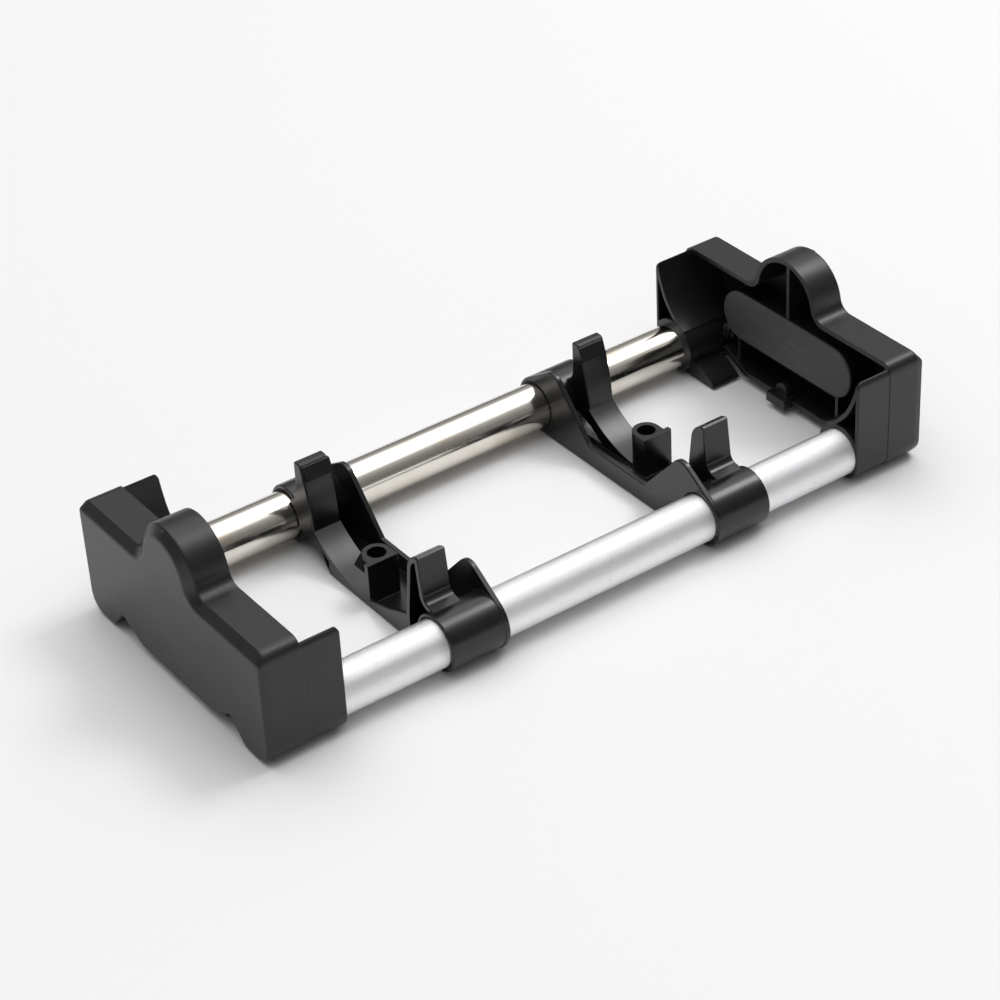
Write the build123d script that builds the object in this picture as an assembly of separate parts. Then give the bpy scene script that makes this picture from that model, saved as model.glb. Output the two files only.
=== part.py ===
from build123d import *
import os
from math import cos, radians, sin, sqrt, tan

os.makedirs("parts", exist_ok=True)

# Storage cradle of an adjustable dumbbell, in millimetres.
# X runs along the two tubes, -Y is the front, +Z is up; the origin is on the floor, in the middle.
# Everything is symmetric about the YZ plane: the right side is modelled, the left side is its mirror image.

# ---- driving dimensions: overall
HALF_LENGTH = 222.0          # outer face of an end housing
HALF_WIDTH = 91.0            # outer face of a housing's side cheek
AXIS_Z = 74.0                # axis of the stored dumbbell: the hump and the saddles are centred on it
FOOT_Z = 1.2                 # underside of the housings, held off the floor by the rubber feet
FRAME_Z = 1.0                # underside of the brackets
BUSH_GAP = 0.05              # radial running clearance between a bush and its tube
SEAT_GAP = 0.15              # clearance round pieces that drop into a seat

# ---- driving dimensions: tubes
TUBE_R = 14.0
TUBE_WALL = 1.5
TUBE_Y = 75.4
TUBE_Z = 17.2
TUBE_END = 214.0             # end of a tube inside the housing
PLUG_LENGTH = 20.0

# ---- driving dimensions: end housing
SHOULDER_Z = 72.0
SHELL_DEPTH = 25.0           # depth of the roof and the floor of the shell
CHEEK_DEPTH = 48.5           # depth of the side cheeks and the tube sockets
CHEEK_DROP = 2.5             # top of a cheek's extension below the shoulder
CHEEK_WALL = 2.6
CHEEK_STEP = 0.4             # the part of the housing behind the shell is set in by this much all round
CHEEK_CORNER_R = 5.0
WALL = 3.0
END_WALL = 4.0
BEVEL_DEPTH = 5.0            # bevel round the outer face
BEVEL_DROP = 7.0
HUMP_R = 26.0
HUMP_FILLET_R = 8.0
TOP_CORNER_R = 7.0
FOOT_CORNER_R = 12.0
BELLY_Z = 5.2                # underside between the feet
NOTCH_Z = 14.4               # top of the notch beside each foot
SOCKET_R = 17.2
TOE_X = 177.0                # free end of the toe beside each socket's foot
WEB_WALL = 2.4
RIB_WALL = 2.4
LOWER_RIB_Y = 44.0

# ---- driving dimensions: bumper pad and the boss that carries it
PAD_LENGTH = 113.0
PAD_HEIGHT = 32.0
PAD_Z = 43.8
PAD_THICKNESS = 3.0          # of the part that sits inside the rim
PAD_RIM = 1.8
PAD_DEPTH = 24.0             # depth of the pad's face from the outer face
PAD_FLANGE = 1.4             # thickness of the pad's edge, which covers the rim
PEG_R = 3.0
PEG_LENGTH = 6.0
PEG_SPACING = 60.0

# ---- driving dimensions: bracket
PLATE_X = 71.0               # inner face of the side plate
PLATE_WALL = 3.0
RAIL_INNER_X = 87.0
RAIL_OUTER_X = 105.0
RING_OUTER_X = 108.0
COLLAR_OUTER_X = 103.0
RING_R = 16.8
COLLAR_R = 17.2
BUSH_WALL = 1.2
SADDLE_R = 69.5              # the arc that carries the dumbbell
SADDLE_WALL = 2.6
SADDLE_Y = 45.5
ROOT_Y = 31.0                # where the underside of the rear finger's root comes down to the floor
FLOOR_WALL = 1.6             # floor of the trough and of the pocket
BAR_Z = 13.4                 # top of the side plate's middle
LOBE_R = 9.0                 # rounded lobe at each end of the side plate
LOBE_Y = 59.6
LOBE_Z = 37.1
FLANK_SLOPE = 47.5           # degrees, from the bar up to each lobe
FINGER_Z = 61.5
FINGER_WALL = 3.2
EDGE = 0.9                   # rounding of exposed edges
SKIRT_WALL = 2.5
POCKET_Y = -44.2             # front end of the pocket between the post and the front finger
POCKET_RIM_Z = 17.8          # top of the pocket's outer wall at that end
POST_X = 93.4
POST_Y = -0.3
POST_Z = 28.0
POST_R = 8.3
POST_WALL = 3.0              # front wall of the post
POST_HOLE_R = 5.4
POST_HOLE_DEPTH = 14.0
SHOULDER_Y = 5.2             # rear end of the shoulder at the outer side of the post
SHOULDER_TOP_Z = 22.0        # outer edge of the shoulder's sloping top

# ---- driving dimensions: screws and feet
SCREW_X = 206.0
SCREW_Z = TUBE_Z + 5.4       # above the tube's axis, so that the head clears the notch
SCREW_R = 2.0
SCREW_LENGTH = 14.0
SCREW_HEAD_R = 4.2
SCREW_HEAD = 2.8
SCREW_CLEARANCE = 0.2
FOOT_PAD_R = 5.5
FOOT_PAD_X = 209.0
FOOT_PAD_Y = 72.5
FOOT_PAD_THICKNESS = 2.2

# ---- derived
RIM_X = HALF_LENGTH - SHELL_DEPTH
SOCKET_X = HALF_LENGTH - CHEEK_DEPTH
CAVITY_X = HALF_LENGTH - END_WALL
BUSH_R = TUBE_R + BUSH_GAP
BUSH_OUTER_R = BUSH_R + BUSH_WALL


# ---- helpers

def slab(section, x_low, x_high):
    """A section drawn with its local x along Y and its local y along Z, extruded from x_low to x_high."""
    return extrude(Plane.YZ.offset(x_low) * section, amount=x_high - x_low)


def polygon(*points):
    return make_face(Polyline(*points, close=True))


def slab_y(section, y_low, y_high):
    """A section drawn with its local x along X and its local y along Z, extruded from y_low to y_high."""
    return extrude(Plane.XZ.offset(-y_high) * section, amount=y_high - y_low)


def block(low, high):
    size = [b - a for a, b in zip(low, high)]
    centre = [(a + b) / 2 for a, b in zip(low, high)]
    return Pos(*centre) * Box(*size)


def along_x(radius, x_low, x_high, y, z):
    return slab(Pos(y, z) * Circle(radius), x_low, x_high)


def along_y(radius, y_low, y_high, x, z):
    return Pos(x, (y_low + y_high) / 2, z) * Rot(90, 0, 0) * Cylinder(radius, y_high - y_low)


def mirror_y(shape):
    return mirror(shape, about=Plane.XZ)


def mirror_x(shape):
    return mirror(shape, about=Plane.YZ)


def both_ends(shape):
    """The shape and its mirror image at the front."""
    return shape + mirror_y(shape)


# ---- end housing

def housing_outline(drop, inset, rise):
    """Outline of the housing: drop lowers the top, inset narrows the sides, rise lifts the underside."""
    shoulder = SHOULDER_Z - drop
    width = HALF_WIDTH - inset
    hump = HUMP_R - drop
    fillet_r = HUMP_FILLET_R + drop
    reach = hump + fillet_r
    fillet_z = shoulder + fillet_r
    fillet_y = sqrt(reach ** 2 - (fillet_z - AXIS_Z) ** 2)
    blend_y = fillet_y * hump / reach
    blend_z = AXIS_Z + (fillet_z - AXIS_Z) * hump / reach
    hump_top = (0, AXIS_Z + hump)
    half = RadiusArc(hump_top, (blend_y, blend_z), hump)
    half += RadiusArc((blend_y, blend_z), (fillet_y, shoulder), -fillet_r)
    foot = FOOT_Z + rise
    belly = BELLY_Z + rise
    half += FilletPolyline(
        (fillet_y, shoulder), (width, shoulder), (width, foot), (67, foot),
        (55, NOTCH_Z + rise), (36, belly), (0, belly),
        radius=[max(TOP_CORNER_R - drop, 2.0), FOOT_CORNER_R - inset, 6, 3, 10])
    return make_face(half + mirror(half, about=Plane.YZ))


def bevelled_cap():
    """The bevel round the outer face, as a stack of ruled lofts that rounds both of its edges."""
    steps = [(0.0, 0.0, 0.0, 0.0), (0.6, 0.15, 0.05, 0.05), (1.1, 0.6, 0.1, 0.1), (4.3, 5.1, 0.6, 0.4),
             (4.75, 5.9, 1.1, 0.7), (BEVEL_DEPTH, BEVEL_DROP, 1.9, 1.1)]
    base_x = HALF_LENGTH - BEVEL_DEPTH
    cap = None
    for low, high in zip(steps, steps[1:]):
        faces = [Plane.YZ.offset(base_x + depth) * housing_outline(drop, inset, rise)
                 for depth, drop, inset, rise in (low, high)]
        layer = loft(faces, ruled=True)
        cap = layer if cap is None else cap + layer
    return cap


def pad_outline(margin):
    """Racetrack of the bumper pad, shrunk by a margin."""
    return Pos(0, PAD_Z) * SlotOverall(PAD_LENGTH - 2 * margin, PAD_HEIGHT - 2 * margin)


def web_curve():
    """Centre line of the web that sweeps from the top of a cheek down to its tube socket."""
    return Spline((89.6, 69.2), (86.6, 57.5), (81.6, 46.8), (74.6, 38.0), (64.5, 30.6),
                  tangents=[(-0.1, -1), (-1, -0.55)])


def socket_section():
    """Section of the socket block at one side: web, tube socket and the foot under it."""
    web = trace(web_curve(), WEB_WALL)
    ring = Pos(TUBE_Y, TUBE_Z) * Circle(SOCKET_R)
    foot = polygon((HALF_WIDTH, FOOT_Z), (62, FOOT_Z), (62, TUBE_Z), (HALF_WIDTH, TUBE_Z))
    cheek = Pos(HALF_WIDTH - CHEEK_WALL / 2, 38) * Rectangle(CHEEK_WALL, 64)
    return web + ring + foot + cheek


def tube_sockets():
    """Both socket blocks, from the free end of the cheeks to the end wall."""
    section = socket_section() & housing_outline(CHEEK_DROP, CHEEK_STEP, CHEEK_STEP)
    socket = slab(section, SOCKET_X, CAVITY_X + 1)
    trim = block((SOCKET_X - 1, 70, 60), (SOCKET_X + 10, 100, 80))
    corner_x = SOCKET_X + CHEEK_CORNER_R
    corner_z = SHOULDER_Z - CHEEK_DROP - CHEEK_CORNER_R
    keep = block((corner_x, 60, 50), (corner_x + 10, 101, 81))
    keep += block((SOCKET_X - 2, 60, 50), (corner_x + 1, 101, corner_z))
    keep += along_y(CHEEK_CORNER_R, 60, 101, corner_x, corner_z)
    socket -= trim - keep
    outer_y = HALF_WIDTH - CHEEK_STEP - 0.01
    boxes = [(edge, edge.bounding_box()) for edge in socket.edges()]
    rim = [edge for edge, box in boxes if box.min.Y > outer_y and box.min.Z > 20 and box.max.Z < SHOULDER_Z]
    return both_ends(fillet(rim, EDGE))


def socket_toes():
    """Low toes that reach from the sockets towards the middle, behind the shell."""
    section = polygon((74, FOOT_Z), (41.5, FOOT_Z), (40.5, 2.2), (42.6, 4.4), (51.6, 9.6), (60.5, 11.5),
                      (66, TUBE_Z), (74, TUBE_Z))
    return both_ends(slab(section, TOE_X, RIM_X))


def pad_boss():
    """Hollow racetrack boss that stands on the end wall and carries the bumper pad."""
    rim_x = HALF_LENGTH - PAD_DEPTH + PAD_FLANGE
    seat_x = rim_x + PAD_THICKNESS
    inner = pad_outline(PAD_RIM)
    boss = slab(pad_outline(0), rim_x, CAVITY_X + 1)
    boss -= slab(inner, rim_x - 1, seat_x)
    boss -= slab(inner, seat_x + WALL, CAVITY_X)
    for side in (-1, 1):
        boss -= along_x(PEG_R + SEAT_GAP, seat_x - 1, seat_x + WALL + 1, side * PEG_SPACING / 2, PAD_Z)
    return boss


def housing_ribs():
    """Rib in the hump and the two ribs under the pad boss."""
    rim_x = HALF_LENGTH - PAD_DEPTH + PAD_FLANGE
    half = RIB_WALL / 2
    ribs = block((rim_x, -half, PAD_Z + PAD_HEIGHT / 2 - 2), (CAVITY_X + 1, half, AXIS_Z + HUMP_R - 1))
    for side in (-1, 1):
        y = side * LOWER_RIB_Y
        ribs += block((rim_x, y - half, BELLY_Z + 1), (CAVITY_X + 1, y + half, PAD_Z - PAD_HEIGHT / 2 + 4))
    return ribs


def centre_tab():
    """Tab with an upright lug in the middle of the floor's free edge."""
    tab = block((RIM_X - 6.5, -8, BELLY_Z - 1), (RIM_X + 2, 8, BELLY_Z + 5))
    lug = along_x(5, RIM_X - 1.5, RIM_X + 2, 0, BELLY_Z + 7)
    return tab + lug


def screw_boss():
    """Flat seat for the retaining screw on the inner side of each socket."""
    return both_ends(along_y(SCREW_HEAD_R + 1.3, TUBE_Y - SOCKET_R - 2.5, TUBE_Y - 10, SCREW_X, SCREW_Z))


def end_housing():
    outline = housing_outline(0, 0, 0)
    shell = slab(outline, RIM_X, HALF_LENGTH - BEVEL_DEPTH) + bevelled_cap()
    cavity = slab(offset(outline, -WALL, kind=Kind.ARC), RIM_X - 1, CAVITY_X)
    housing = shell - cavity
    housing += tube_sockets() + socket_toes()
    housing += housing_ribs() + centre_tab()
    housing -= slab(pad_outline(0), HALF_LENGTH - PAD_DEPTH - 1, CAVITY_X)
    housing += pad_boss() + screw_boss()
    housing -= both_ends(along_x(TUBE_R, SOCKET_X - 1, TUBE_END, TUBE_Y, TUBE_Z))
    screw_y = TUBE_Y - SOCKET_R - 4
    housing -= both_ends(along_y(SCREW_R + SCREW_CLEARANCE, screw_y, TUBE_Y, SCREW_X, SCREW_Z))
    return housing - both_ends(foot_pad(SEAT_GAP))


# ---- rubber feet

def foot_pad(gap):
    """Round rubber pad at the rear; its seat in the housing is the same shape with a gap round it."""
    return Pos(FOOT_PAD_X, FOOT_PAD_Y, 0) * extrude(Circle(FOOT_PAD_R + gap), FOOT_PAD_THICKNESS)


# ---- bumper pad

def bumper_pad():
    """Moulded pad with two pegs; its body sits inside the rim of its boss and its flange covers the rim."""
    face_x = HALF_LENGTH - PAD_DEPTH
    flange_x = face_x + PAD_FLANGE
    back_x = flange_x + PAD_THICKNESS
    pad = slab(pad_outline(0), face_x, flange_x)
    pad = fillet(pad.faces().sort_by(Axis.X)[0].edges(), EDGE)
    pad += slab(pad_outline(PAD_RIM + SEAT_GAP), flange_x - 0.5, back_x)
    for side in (-1, 1):
        pad += along_x(PEG_R, back_x - 1, back_x + PEG_LENGTH, side * PEG_SPACING / 2, PAD_Z)
    return pad


# ---- tubes, plugs and screws

def tube(y):
    """Steel tube with a cross hole for the retaining screw at each end."""
    side = 1 if y > 0 else -1
    wall = Circle(TUBE_R) - Circle(TUBE_R - TUBE_WALL)
    body = slab(Pos(y, TUBE_Z) * wall, -TUBE_END, TUBE_END)
    for end in (-1, 1):
        inner_y = side * (TUBE_Y - TUBE_R / 2)
        outer_y = side * (TUBE_Y - TUBE_R - 1)
        low, high = sorted((inner_y, outer_y))
        body -= along_y(SCREW_R + SCREW_CLEARANCE, low, high, end * SCREW_X, SCREW_Z)
    return body


def tube_plug():
    """Nylon plug in a tube end; the retaining screw cuts its thread in the plug."""
    radius = TUBE_R - TUBE_WALL - 0.05
    start = TUBE_END - PLUG_LENGTH
    plug = along_x(radius, start, TUBE_END - 0.5, TUBE_Y, TUBE_Z)
    plug = fillet(plug.faces().sort_by(Axis.X)[0].edges(), 1.5)
    plug -= along_x(5.0, TUBE_END - 5, TUBE_END, TUBE_Y, TUBE_Z)
    return plug - along_y(SCREW_R + 0.02, TUBE_Y - TUBE_R, TUBE_Y, SCREW_X, SCREW_Z)


def tube_screw():
    """Pan head screw with a cross recess, driven outwards through the socket into the tube."""
    seat = TUBE_Y - SOCKET_R - 2.5
    head = along_y(SCREW_HEAD_R, seat - SCREW_HEAD, seat, SCREW_X, SCREW_Z)
    head = fillet(head.faces().sort_by(Axis.Y)[0].edges(), 1.2)
    for size in ((0.9, 4.4), (4.4, 0.9)):
        head -= Pos(SCREW_X, seat - SCREW_HEAD, SCREW_Z) * Box(size[0], 2.6, size[1])
    return head + along_y(SCREW_R, seat - 1, seat + SCREW_LENGTH, SCREW_X, SCREW_Z)


# ---- bracket

def disc(radius, y, z):
    return Pos(y, z) * Circle(radius)


def above_floor(section):
    return section & (Pos(0, 60) * Rectangle(220, 2 * (60 - FRAME_Z)))


def linked(radius_a, centre_a, radius_b, centre_b):
    """Two discs and the convex outline round both."""
    edges = disc(radius_a, *centre_a).edges() + disc(radius_b, *centre_b).edges()
    return make_hull(edges)


def saddle_z(y):
    """Height of the saddle's arc at a distance y from the middle."""
    return AXIS_Z - sqrt(SADDLE_R ** 2 - y ** 2)


def plate_section():
    """Side plate: a low bar between two rounded lobes, each running down to its tube."""
    slope = radians(FLANK_SLOPE)
    flank_y = LOBE_Y - LOBE_R * sin(slope)
    flank_z = LOBE_Z + LOBE_R * cos(slope)
    bar_y = flank_y - (flank_z - BAR_Z) / tan(slope)
    half = polygon((0, 0), (0, BAR_Z), (bar_y, BAR_Z), (flank_y, flank_z), (LOBE_Y, LOBE_Z),
                   (TUBE_Y, TUBE_Z), (TUBE_Y, 0))
    half += linked(LOBE_R, (LOBE_Y, LOBE_Z), COLLAR_R, (TUBE_Y, TUBE_Z))
    return above_floor(half + mirror(half, about=Plane.YZ))


def rear_finger_section():
    """Rear finger and its root on the collar."""
    saddle_end = (SADDLE_Y, saddle_z(SADDLE_Y))
    return make_face(Wire([
        Line((53.8, FINGER_Z - 1), (55.2, FINGER_Z)),
        Line((55.2, FINGER_Z), (58.2, FINGER_Z)),
        ThreePointArc((58.2, FINGER_Z), (59.8, FINGER_Z - 0.7), (60.2, FINGER_Z - 2.4)),
        Line((60.2, FINGER_Z - 2.4), (60.4, 42)),
        ThreePointArc((60.4, 42), (62.8, 35.8), (68, 32)),
        Line((68, 32), (72, 18)),
        Line((72, 18), (57, 15.5)),
        ThreePointArc((57, 15.5), (46, 11.5), (ROOT_Y, FRAME_Z)),
        Line((ROOT_Y, FRAME_Z), saddle_end),
        ThreePointArc(saddle_end, (47.6, 38.5), (53.8, FINGER_Z - 1)),
    ]))


def finger_lip():
    """Raised panel on the upper third of the rear finger's face."""
    section = polygon((50.6, 51.0), (48.9, 52.2), (52.8, FINGER_Z - 1.6), (54.6, FINGER_Z - 1.6), (53, 51.0))
    return slab(section, RAIL_INNER_X - 0.7, RAIL_OUTER_X - 1.4)


def front_finger_section():
    """Front finger, hollow from the outer side, with its root on the ring."""
    return make_face(Wire([
        Line((-59.2, FINGER_Z - 1), (-57.8, FINGER_Z - 0.2)),
        Line((-57.8, FINGER_Z - 0.2), (-56.2, FINGER_Z - 0.8)),
        ThreePointArc((-56.2, FINGER_Z - 0.8), (-50.8, 56.6), (-48.4, 50)),
        Line((-48.4, 50), (POCKET_Y, POCKET_RIM_Z)),
        Line((POCKET_Y, POCKET_RIM_Z), (POCKET_Y, FRAME_Z)),
        Line((POCKET_Y, FRAME_Z), (-TUBE_Y, FRAME_Z)),
        Line((-TUBE_Y, FRAME_Z), (-TUBE_Y, 33)),
        Line((-TUBE_Y, 33), (-67, 34.4)),
        ThreePointArc((-67, 34.4), (-63.5, 35.9), (-62, 39.4)),
        Line((-62, 39.4), (-59.2, FINGER_Z - 1)),
    ]))


def soft_finger(section):
    """A finger with rounded edges, from its saddle upwards."""
    finger = slab(section, RAIL_INNER_X, RAIL_OUTER_X)
    sides = finger.faces().sort_by(Axis.X)
    edges = sides[0].edges() + sides[-1].edges()
    return fillet([edge for edge in edges if edge.bounding_box().min.Z > AXIS_Z - 53.5], EDGE)


def saddle_section(radius, wall, y_low, y_high):
    """Piece of a ring round the dumbbell's axis, cut off at the underside of the bracket."""
    ring = disc(radius + wall, 0, AXIS_Z) - disc(radius, 0, AXIS_Z)
    return above_floor(ring & (Pos((y_low + y_high) / 2, 20) * Rectangle(y_high - y_low, 60)))


def skirt_section(y_low, y_high):
    """Everything between the saddle's arc and the underside."""
    under = Pos((y_low + y_high) / 2, 15) * Rectangle(y_high - y_low, 30)
    return above_floor(under - disc(SADDLE_R + 1, 0, AXIS_Z))


def pocket_wall():
    """Low outer wall between the post and the front finger, rounded along its sloping top."""
    front_y = POST_Y - POST_R
    section = polygon((front_y + 1, FRAME_Z), (front_y + 1, saddle_z(front_y)), (-28, 11.0),
                      (POCKET_Y - 1, POCKET_RIM_Z), (POCKET_Y - 1, FRAME_Z))
    wall = slab(section, RAIL_OUTER_X - SKIRT_WALL, RAIL_OUTER_X)
    sides = wall.faces().sort_by(Axis.X)
    edges = sides[0].edges() + sides[-1].edges()
    return fillet([edge for edge in edges if edge.bounding_box().min.Z > FRAME_Z + 1], EDGE)


def saddle_rail():
    """Raised rail that carries the dumbbell, with its fingers, its skirts and the pocket at the front."""
    rear_y = POST_Y - POST_R + 1
    rail = slab(saddle_section(SADDLE_R, SADDLE_WALL, rear_y, 46), RAIL_INNER_X, RAIL_OUTER_X)
    skirt = skirt_section(rear_y, ROOT_Y + 1)
    rail += slab(skirt, RAIL_INNER_X, RAIL_INNER_X + SKIRT_WALL)
    rail += slab(skirt, RAIL_OUTER_X - SKIRT_WALL, RAIL_OUTER_X)
    rail += pocket_wall()
    rail += soft_finger(rear_finger_section()) + finger_lip()
    front = front_finger_section()
    rail += soft_finger(front)
    core = offset(front, -FINGER_WALL, kind=Kind.INTERSECTION) & (Pos(-56, 34) * Rectangle(20, 46))
    core -= disc(RING_R, -TUBE_Y, TUBE_Z)
    rail -= slab(core, RAIL_INNER_X + 4, RAIL_OUTER_X + 1)
    return rail


def bracket_floor():
    """Thin floor of the trough between the plate and the rail, and of the pocket in front of the post."""
    top = FRAME_Z + FLOOR_WALL
    trough = block((PLATE_X + 1, -70, FRAME_Z), (RAIL_INNER_X + 1, 70, top))
    pocket = block((RAIL_INNER_X, POCKET_Y - 1, FRAME_Z), (RAIL_OUTER_X - 1, POST_Y, top))
    return trough + pocket


def release_post():
    """Post with a blind hole and a flat front wall, and the sloping shoulder at its outer side."""
    front_y = POST_Y - POST_R
    section = Circle(POST_R) + Pos(0, -POST_R / 2) * Rectangle(2 * POST_R, POST_R)
    post = Pos(POST_X, POST_Y, FRAME_Z) * extrude(section, POST_Z - FRAME_Z)
    wall = block((POST_X, front_y, FRAME_Z), (RAIL_OUTER_X, front_y + POST_WALL, POST_Z))
    shoulder_z = POST_Z - 0.6
    slope = polygon((POST_X, FRAME_Z), (RAIL_OUTER_X, FRAME_Z), (RAIL_OUTER_X, SHOULDER_TOP_Z),
                    (RAIL_OUTER_X - 4.5, shoulder_z), (POST_X, shoulder_z))
    shoulder = slab_y(slope, front_y + 1, SHOULDER_Y)
    hole = Pos(POST_X, POST_Y, POST_Z - POST_HOLE_DEPTH) * extrude(Circle(POST_HOLE_R), POST_HOLE_DEPTH + 1)
    return post + wall + shoulder - hole


def round_collars():
    """Collar on the rear tube and ring on the front tube."""
    collar = slab(above_floor(disc(COLLAR_R, TUBE_Y, TUBE_Z)), PLATE_X + 1, COLLAR_OUTER_X)
    ring = slab(above_floor(disc(RING_R, -TUBE_Y, TUBE_Z)), PLATE_X + 1, RING_OUTER_X)
    collar = fillet(collar.faces().sort_by(Axis.X)[-1].edges(), EDGE)
    return collar + fillet(ring.faces().sort_by(Axis.X)[-1].edges(), EDGE)


def bracket():
    plate = slab(plate_section(), PLATE_X, PLATE_X + PLATE_WALL)
    rim = plate.faces().sort_by(Axis.X)[0].edges()
    body = fillet([edge for edge in rim if edge.bounding_box().min.Z > FRAME_Z + 0.5], EDGE)
    for piece in (bracket_floor(), round_collars(), saddle_rail(), release_post()):
        body += piece
    for y in (-TUBE_Y, TUBE_Y):
        body -= along_x(BUSH_OUTER_R, PLATE_X - 1, RING_OUTER_X + 1, y, TUBE_Z)
    return body


def bush(y, x_high):
    """Thin elastomer sleeve between a collar and its tube; it grips the tube."""
    wall = disc(BUSH_OUTER_R, y, TUBE_Z) - disc(BUSH_R, y, TUBE_Z)
    return slab(wall, PLATE_X + 0.5, x_high - 0.5)


# ---- assembly

def write(name, shape):
    shape.label = name
    export_step(shape, "parts/" + name + ".step")


right_pieces = {
    "end_housing": end_housing(),
    "bumper_pad": bumper_pad(),
    "bracket": bracket(),
    "bracket_rear_bush": bush(TUBE_Y, COLLAR_OUTER_X),
    "bracket_front_bush": bush(-TUBE_Y, RING_OUTER_X),
    "rear_tube_plug": tube_plug(),
    "front_tube_plug": mirror_y(tube_plug()),
    "rear_foot": foot_pad(0),
    "front_foot": mirror_y(foot_pad(0)),
}

for piece, shape in right_pieces.items():
    write("right_" + piece, shape)
    write("left_" + piece, mirror_x(shape))

write("rear_tube", tube(TUBE_Y))
write("front_tube", tube(-TUBE_Y))

screws = [tube_screw(), mirror_y(tube_screw())]
screws += [mirror_x(screw) for screw in screws]
write("tube_screws", Compound(screws))
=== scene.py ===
"""Looks of the adjustable dumbbell cradle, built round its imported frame.

Lengths are in metres, and angles are in degrees.
"""

import math

import bpy
from mathutils import Matrix, Vector


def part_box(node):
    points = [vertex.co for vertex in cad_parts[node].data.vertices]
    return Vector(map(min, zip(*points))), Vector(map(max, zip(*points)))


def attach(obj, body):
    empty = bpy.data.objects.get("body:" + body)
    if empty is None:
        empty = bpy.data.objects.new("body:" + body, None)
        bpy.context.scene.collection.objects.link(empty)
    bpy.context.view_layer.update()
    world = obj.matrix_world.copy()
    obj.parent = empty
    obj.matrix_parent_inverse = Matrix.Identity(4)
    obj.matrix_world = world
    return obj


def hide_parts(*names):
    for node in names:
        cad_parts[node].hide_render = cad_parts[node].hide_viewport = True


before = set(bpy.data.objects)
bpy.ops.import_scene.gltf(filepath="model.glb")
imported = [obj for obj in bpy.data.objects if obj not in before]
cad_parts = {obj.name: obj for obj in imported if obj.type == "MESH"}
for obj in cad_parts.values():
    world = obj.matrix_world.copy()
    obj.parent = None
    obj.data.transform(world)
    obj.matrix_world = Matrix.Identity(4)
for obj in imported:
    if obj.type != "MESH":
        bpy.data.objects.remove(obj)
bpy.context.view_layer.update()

MM = 0.001

# ---- driving values: knurled tube
KNURL_PITCH = 1.05 * MM          # distance between neighbouring diamonds round the tube
KNURL_DEPTH = 0.20 * MM
KNURL_SLANT = 1.25               # length of a diamond along the tube over its width round it
KNURL_PLAIN_END = 1.2 * MM       # smooth turned band at each end of the tube
KNURL_RUN_OUT = 0.2 * MM         # from the last row of diamonds to the turned band
TURNED_DEPTH = 0.4               # of the turned bands, as a part of the knurl's depth
TUBE_WALL = 1.5 * MM

# ---- driving values: weld seam of the nickel tube
SEAM_TURN = 152                  # round the tube from its rear side, over the top
SEAM_WIDTH = (0.012, 0.035)      # full strength within the first, and none beyond the second, in radians

# ---- driving values: camera, floor and lights
CAMERA_PLACE = (-0.7559, -1.0930, 0.9376)
CAMERA_AZIMUTH = 34.30           # the camera stands this far round from the front, towards the left end
CAMERA_ELEVATION = 34.59
CAMERA_ROLL = -3.22
CAMERA_LENS = 104.0
BRIGHTEST_SKY = (0.13, 0.19, 0.97)   # direction of the brightest part, a little to the rear of overhead
FLOOR_SIZE = 60.0
FLOOR_COLOUR = (0.86, 0.86, 0.862)
BACKDROP_COLOUR = (0.99, 0.99, 0.995, 1)
STUDIO_STRENGTH = 0.97


# ---- shader helpers

class Value:
    """A number that varies over a surface. Arithmetic on it adds Math nodes to its material."""

    def __init__(self, finish, socket):
        self.finish = finish
        self.socket = socket

    def math(self, operation, *others):
        sockets = dict(enumerate((self,) + others))
        return self.finish.node("ShaderNodeMath", {"operation": operation}, sockets)

    def __add__(self, other):
        return self.math("ADD", other)

    __radd__ = __add__

    def __sub__(self, other):
        return self.math("SUBTRACT", other)

    def __rsub__(self, other):
        return (self * -1) + other

    def __mul__(self, other):
        return self.math("MULTIPLY", other)

    __rmul__ = __mul__

    def __pow__(self, other):
        return self.math("POWER", other)

    def over(self, low, high):
        """0 below low, 1 above high, and smooth between them. low may be the larger, for the reverse."""
        settings = {"interpolation_type": "SMOOTHSTEP"}
        sockets = {"Value": self, "From Min": min(low, high), "From Max": max(low, high)}
        if low > high:
            sockets.update({"To Min": 1.0, "To Max": 0.0})
        return self.finish.node("ShaderNodeMapRange", settings, sockets)


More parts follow.
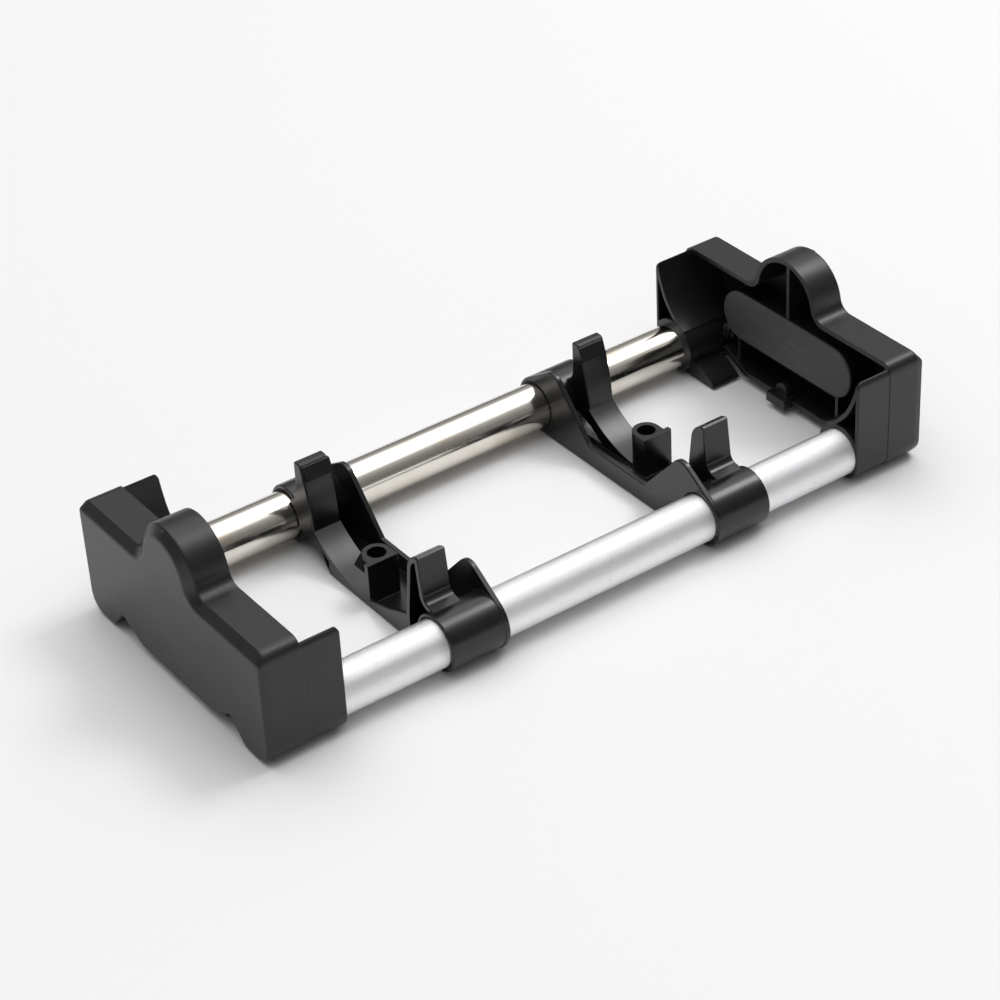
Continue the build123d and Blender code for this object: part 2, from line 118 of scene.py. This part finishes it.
class Finish:
    """One material: a Principled surface, and the nodes that feed it."""

    def __init__(self, name):
        self.material = bpy.data.materials.new(name)
        self.material.use_nodes = True
        self.tree = self.material.node_tree
        self.shader = self.tree.nodes["Principled BSDF"]

    def node(self, kind, settings=None, sockets=None, output=0):
        made = self.tree.nodes.new(kind)
        for key, value in (settings or {}).items():
            setattr(made, key, value)
        for key, value in (sockets or {}).items():
            self.feed(made.inputs[key], value)
        return Value(self, made.outputs[output])

    def feed(self, socket, value):
        if isinstance(value, Value):
            self.tree.links.new(value.socket, socket)
        else:
            socket.default_value = value

    def surface(self, **values):
        for name, value in values.items():
            self.feed(self.shader.inputs[name.replace("_", " ")], value)
        return self.material

    def place(self, stretch=(1, 1, 1)):
        """The point on the piece in the object's own frame, stretched along its axes."""
        point = self.node("ShaderNodeTexCoord", output="Object")
        if tuple(stretch) == (1, 1, 1):
            return point
        settings = {"operation": "MULTIPLY"}
        return self.node("ShaderNodeVectorMath", settings, {0: point, 1: stretch})

    def noise(self, size, detail=3.0, stretch=(1, 1, 1), roughness=0.5, distortion=0.0):
        """Soft noise from 0 to 1 whose patches are about size across."""
        sockets = {"Vector": self.place(stretch), "Scale": 1 / size, "Detail": detail,
                   "Roughness": roughness, "Distortion": distortion}
        return self.node("ShaderNodeTexNoise", None, sockets)

    def cells(self, size):
        """Distance to the nearest of many scattered points, in cell sizes."""
        return self.node("ShaderNodeTexVoronoi", None, {"Vector": self.place(), "Scale": 1 / size})

    def mix(self, factor, low, high):
        settings = {"data_type": "RGBA"}
        sockets = {"Factor": factor, 6: rgba(low), 7: rgba(high)}
        return self.node("ShaderNodeMix", settings, sockets, output=2)

    def bump(self, height, distance, strength=1.0, normal=None):
        sockets = {"Height": height, "Distance": distance, "Strength": strength}
        if normal is not None:
            sockets["Normal"] = normal
        return self.node("ShaderNodeBump", None, sockets)

    def axes(self):
        """The x, y and z of the point on the piece."""
        point = self.place()
        return [self.node("ShaderNodeSeparateXYZ", None, {0: point}, output=i) for i in range(3)]

    def rounded(self, radius):
        """Normal of the surface with its sharp edges rounded."""
        return self.node("ShaderNodeBevel", {"samples": 6}, {"Radius": radius})

    def edges(self, radius):
        """1 on sharp edges, and 0 a radius away from them."""
        true_normal = self.node("ShaderNodeNewGeometry", output="Normal")
        sockets = {0: self.rounded(radius), 1: true_normal}
        likeness = self.node("ShaderNodeVectorMath", {"operation": "DOT_PRODUCT"}, sockets, output="Value")
        return likeness.over(0.995, 0.8)


def rgba(colour):
    return colour if isinstance(colour, Value) else (*colour, 1.0)


# ---- materials

def moulded_plastic(name, dark, light, gloss, grain, round_edge, specular=0.5):
    """Moulded black plastic: spark-eroded grain, faint flow marks, and edges painted a little paler, partly
    as rubbing wear and partly as a painted edge highlight.
    """
    finish = Finish(name)
    flow = finish.noise(45 * MM, detail=4, stretch=(1, 0.4, 1.3), distortion=0.6)
    mottle = finish.noise(7 * MM, detail=5)
    sharp_edge_band = finish.edges(0.5 * MM)
    scuff = finish.noise(9 * MM, detail=8, stretch=(0.25, 1, 1), roughness=0.7).over(0.66, 0.74)
    edge_wear_and_painted_highlight = sharp_edge_band * mottle.over(0.30, 0.65)
    colour = finish.mix(mottle, dark, light)
    # paints the sharp edges paler: partly rubbing wear, partly a painted highlight along the rims
    colour = finish.mix(edge_wear_and_painted_highlight * 0.6, colour, [5 * part for part in light])
    colour = finish.mix(scuff * 0.10, colour, [3 * part for part in light])
    fine = finish.noise(0.35 * MM, detail=2)
    coarse = finish.noise(1.3 * MM, detail=2)
    wave = finish.noise(28 * MM, detail=1)
    normal = finish.bump(wave, 0.35 * MM, 0.35, finish.rounded(round_edge))
    normal = finish.bump(fine + coarse * 0.6, grain, 0.6, normal)
    roughness = gloss + (flow - 0.5) * 0.10 + (mottle - 0.5) * 0.06 + scuff * 0.05 + edge_wear_and_painted_highlight * 0.05
    return finish.surface(Base_Color=colour, Roughness=roughness, Normal=normal, Specular_IOR_Level=specular)


def pad_plastic():
    """Matt, slightly paler moulding of the bumper pads, with a fine pebble and a few rub marks along it."""
    finish = Finish("pad_plastic")
    cloud = finish.noise(22 * MM, detail=5, stretch=(1, 0.5, 1))
    rub = finish.noise(5 * MM, detail=6, stretch=(1, 0.12, 1), roughness=0.65).over(0.5, 0.75)
    colour = finish.mix(cloud, (0.050, 0.050, 0.052), (0.078, 0.078, 0.080))
    colour = finish.mix(rub * 0.25, colour, (0.13, 0.13, 0.13))
    pebble = finish.cells(0.9 * MM)
    normal = finish.bump(pebble, 0.08 * MM, 0.5, finish.rounded(0.5 * MM))
    roughness = 0.50 + (cloud - 0.5) * 0.12 - rub * 0.08
    return finish.surface(Base_Color=colour, Roughness=roughness, Normal=normal)


def nickel_tube(node):
    """Bright nickel plating with drawing lines along the tube, a faint weld seam and warm stains."""
    low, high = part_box(node)
    centre = (low + high) / 2
    finish = Finish("nickel_tube")
    across, upward = finish.axes()[1:]
    turn = (upward - centre.z).math("ARCTAN2", across - centre.y)
    off_seam = (turn - math.radians(SEAM_TURN)).math("ABSOLUTE")
    seam = off_seam.over(SEAM_WIDTH[1], SEAM_WIDTH[0])
    drawn = finish.noise(0.6 * MM, detail=4, stretch=(0.015, 1, 1))
    streaks = finish.noise(3 * MM, detail=4, stretch=(0.05, 1, 1))
    stain = finish.noise(30 * MM, detail=6, stretch=(1, 1.5, 1.5), roughness=0.6).over(0.45, 0.75)
    speck = finish.cells(6 * MM).over(0.10, 0.03)
    colour = finish.mix(stain, (0.79, 0.755, 0.69), (0.70, 0.64, 0.54))
    colour = finish.mix(seam * 0.35, colour, (0.38, 0.34, 0.28))
    colour = finish.mix(speck * 0.25, colour, (0.30, 0.27, 0.22))
    height = drawn * 0.5 + streaks + seam * 0.8
    normal = finish.bump(height, 0.03 * MM, 0.5)
    roughness = 0.10 + streaks * 0.06 + stain * 0.06 + seam * 0.12 + speck * 0.15
    return finish.surface(Base_Color=colour, Metallic=1.0, Roughness=roughness, Normal=normal)


def knurled_steel(node):
    """Bright knurled steel: polished peaks, duller valleys and faint rolling bands along the tube."""
    low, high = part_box(node)
    centre = (low + high) / 2
    finish = Finish("knurled_steel")
    across, upward = finish.axes()[1:]
    y = across - centre.y
    z = upward - centre.z
    radius = (y * y + z * z) ** 0.5
    peak = (high.z - low.z) / 2
    raised = radius.over(peak - KNURL_DEPTH, peak)
    bands = finish.noise(14 * MM, detail=3, stretch=(0.35, 1, 1))
    grime = finish.noise(4 * MM, detail=6, roughness=0.65).over(0.55, 0.8)
    colour = finish.mix(raised, (0.80, 0.80, 0.81), (0.93, 0.93, 0.935))
    colour = finish.mix(grime * 0.3, colour, (0.45, 0.44, 0.43))
    roughness = 0.42 - raised * 0.10 + (bands - 0.5) * 0.10 + grime * 0.08
    scratch = finish.noise(0.12 * MM, detail=2)
    normal = finish.bump(scratch, 0.01 * MM, 0.5)
    return finish.surface(Base_Color=colour, Metallic=1.0, Roughness=roughness, Normal=normal)


def soft_rubber(name, dark, light):
    """Dull rubber with a bloom and a fine moulded texture."""
    finish = Finish(name)
    bloom = finish.noise(4 * MM, detail=5)
    texture = finish.noise(0.25 * MM, detail=2)
    normal = finish.bump(texture, 0.03 * MM, 0.6, finish.rounded(0.3 * MM))
    colour = finish.mix(bloom, dark, light)
    return finish.surface(Base_Color=colour, Roughness=0.72 + bloom * 0.14, Normal=normal)


def black_oxide():
    """Oil-blackened steel screws with the black rubbed thin on their edges."""
    finish = Finish("black_oxide")
    sharp_edge_band = finish.edges(0.25 * MM)
    patch = finish.noise(1.5 * MM, detail=4)
    colour = finish.mix(sharp_edge_band * patch.over(0.3, 0.6), (0.035, 0.034, 0.036), (0.32, 0.31, 0.30))
    normal = finish.bump(finish.noise(0.2 * MM), 0.01 * MM, 0.6)
    return finish.surface(Base_Color=colour, Metallic=0.85, Roughness=0.38 + patch * 0.12, Normal=normal)


def floor_paper():
    """Plain pale paper under the cradle."""
    finish = Finish("floor_paper")
    return finish.surface(Base_Color=(*FLOOR_COLOUR, 1), Roughness=0.9, Specular_IOR_Level=0.1)


# ---- pieces

def knurled_tube(node, material):
    """The knurled tube as a closed mesh: diamond pyramids outside, a plain bore inside."""
    low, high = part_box(node)
    centre = (low + high) / 2
    outer = (high.z - low.z) / 2
    inner = outer - TUBE_WALL
    around = 2 * round(math.pi * outer / KNURL_PITCH)
    start, end = low.x + KNURL_PLAIN_END, high.x - KNURL_PLAIN_END
    rows = 2 * round((end - start) / (KNURL_PITCH * KNURL_SLANT))
    step = 2 * math.pi / around

    points, faces = [], []

    def ring(x, radii):
        base = len(points)
        for k in range(around):
            turn = k * step
            points.append((x, centre.y + radii[k] * math.cos(turn), centre.z + radii[k] * math.sin(turn)))
        return base

    def band(a, b):
        for k in range(around):
            m = (k + 1) % around
            faces.append((a + k, b + k, b + m, a + m))

    valley = outer - KNURL_DEPTH
    plain = [outer - TURNED_DEPTH * KNURL_DEPTH] * around
    rings = [ring(low.x, plain), ring(start - KNURL_RUN_OUT, plain)]
    lattice = []
    for j in range(rows + 1):
        x = start + (end - start) * j / rows
        lattice.append(ring(x, [outer if (j + k) % 2 else valley for k in range(around)]))
    after = [ring(end + KNURL_RUN_OUT, plain), ring(high.x, plain)]
    bore = [ring(high.x, [inner] * around), ring(low.x, [inner] * around)]

    for j, (a, b) in enumerate(zip(lattice, lattice[1:])):
        for k in range(around):
            m = (k + 1) % around
            if (j + k) % 2:
                faces.append((a + k, b + k, b + m))
                faces.append((a + k, b + m, a + m))
            else:
                faces.append((a + k, b + k, a + m))
                faces.append((b + k, b + m, a + m))
    outside = rings + [lattice[0]]
    for a, b in zip(outside, outside[1:]):
        band(a, b)
    inside = [lattice[-1]] + after + bore + [rings[0]]
    for a, b in zip(inside, inside[1:]):
        band(a, b)

    mesh = bpy.data.meshes.new("knurled_front_tube")
    mesh.from_pydata(points, [], faces)
    mesh.validate()
    mesh.update()
    tube = bpy.data.objects.new("knurled_front_tube", mesh)
    bpy.context.scene.collection.objects.link(tube)
    mesh.materials.append(material)
    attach(tube, "frame")
    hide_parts(node)


def dress(nodes, material):
    """Gives CAD nodes their finish."""
    for node in nodes:
        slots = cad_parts[node].data.materials
        slots.clear()
        slots.append(material)


def sides(name):
    return ["left_" + name, "right_" + name]


# ---- studio

def floor():
    half = FLOOR_SIZE / 2
    corners = [(-half, -half, 0), (half, -half, 0), (half, half, 0), (-half, half, 0)]
    mesh = bpy.data.meshes.new("floor")
    mesh.from_pydata(corners, [], [(0, 1, 2, 3)])
    plane = bpy.data.objects.new("floor", mesh)
    bpy.context.scene.collection.objects.link(plane)
    mesh.materials.append(floor_paper())


def softbox(name, place, size, strength):
    """Rectangular light at a place, aimed at the middle of the object."""
    lamp = bpy.data.lights.new(name, "AREA")
    lamp.shape = "RECTANGLE"
    lamp.size, lamp.size_y = size
    lamp.energy = strength
    light = bpy.data.objects.new(name, lamp)
    light.location = place
    light.rotation_mode = "QUATERNION"
    light.rotation_quaternion = Vector(place).to_track_quat("Z", "Y")
    bpy.context.scene.collection.objects.link(light)


def surroundings():
    """A studio that is dark near the horizon and bright overhead. Seen directly it is pale."""
    world = bpy.data.worlds.new("studio")
    world.use_nodes = True
    bpy.context.scene.world = world
    tree = world.node_tree
    sky = tree.nodes["Background"]
    point = tree.nodes.new("ShaderNodeTexCoord")
    height = tree.nodes.new("ShaderNodeVectorMath")
    height.operation = "DOT_PRODUCT"
    height.inputs[1].default_value = Vector(BRIGHTEST_SKY).normalized()
    ramp = tree.nodes.new("ShaderNodeValToRGB")
    stops = [(0.0, 0.6), (0.02, 0.14), (0.20, 0.18), (0.50, 0.28), (0.72, 0.50), (0.83, 1.65), (1.0, 2.05)]
    while len(ramp.color_ramp.elements) < len(stops):
        ramp.color_ramp.elements.new(0.5)
    for element, (position, level) in zip(ramp.color_ramp.elements, stops):
        element.position = position
        element.color = (level, level, level * 1.01, 1)
    mixer = tree.nodes.new("ShaderNodeMix")
    mixer.data_type = "RGBA"
    path = tree.nodes.new("ShaderNodeLightPath")
    tree.links.new(point.outputs["Generated"], height.inputs[0])
    tree.links.new(height.outputs["Value"], ramp.inputs[0])
    tree.links.new(path.outputs["Is Camera Ray"], mixer.inputs["Factor"])
    tree.links.new(ramp.outputs["Color"], mixer.inputs[6])
    mixer.inputs[7].default_value = BACKDROP_COLOUR
    tree.links.new(mixer.outputs[2], sky.inputs["Color"])
    sky.inputs["Strength"].default_value = STUDIO_STRENGTH


def camera():
    lens = bpy.data.cameras.new("camera")
    lens.lens = CAMERA_LENS
    lens.sensor_width = 36.0
    lens.clip_start = 0.05
    eye = bpy.data.objects.new("camera", lens)
    bpy.context.scene.collection.objects.link(eye)
    pitch = math.radians(90 - CAMERA_ELEVATION)
    turn = Matrix.Rotation(math.radians(-CAMERA_AZIMUTH), 4, "Z") @ Matrix.Rotation(pitch, 4, "X")
    roll = Matrix.Rotation(math.radians(CAMERA_ROLL), 4, "Z")
    eye.matrix_world = Matrix.Translation(CAMERA_PLACE) @ turn @ roll
    bpy.context.scene.camera = eye


# ---- build

housing_plastic = moulded_plastic("housing_plastic", (0.0065, 0.0065, 0.007), (0.011, 0.011, 0.0115),
                                  0.36, 0.05 * MM, 0.7 * MM)
bracket_plastic = moulded_plastic("bracket_plastic", (0.005, 0.005, 0.0055), (0.009, 0.009, 0.0095),
                                  0.25, 0.02 * MM, 0.5 * MM)
dress(sides("end_housing"), housing_plastic)
dress(sides("bracket"), bracket_plastic)
dress(sides("bumper_pad"), pad_plastic())
dress(["rear_tube"], nickel_tube("rear_tube"))
dress(["tube_screws"], black_oxide())
dress(sides("rear_foot") + sides("front_foot"),
      soft_rubber("foot_rubber", (0.020, 0.020, 0.020), (0.045, 0.044, 0.042)))
dress(sides("bracket_rear_bush") + sides("bracket_front_bush"),
      soft_rubber("bush_elastomer", (0.012, 0.012, 0.012), (0.025, 0.025, 0.025)))
dress(sides("rear_tube_plug") + sides("front_tube_plug"),
      moulded_plastic("plug_nylon", (0.05, 0.05, 0.05), (0.08, 0.08, 0.08), 0.48, 0.05 * MM, 0.3 * MM))
knurled_tube("front_tube", knurled_steel("front_tube"))

floor()
surroundings()
softbox("overhead", (2.1, -0.1, 3.2), (1.2, 1.2), 36)
camera()
bpy.context.scene.view_settings.view_transform = "Standard"
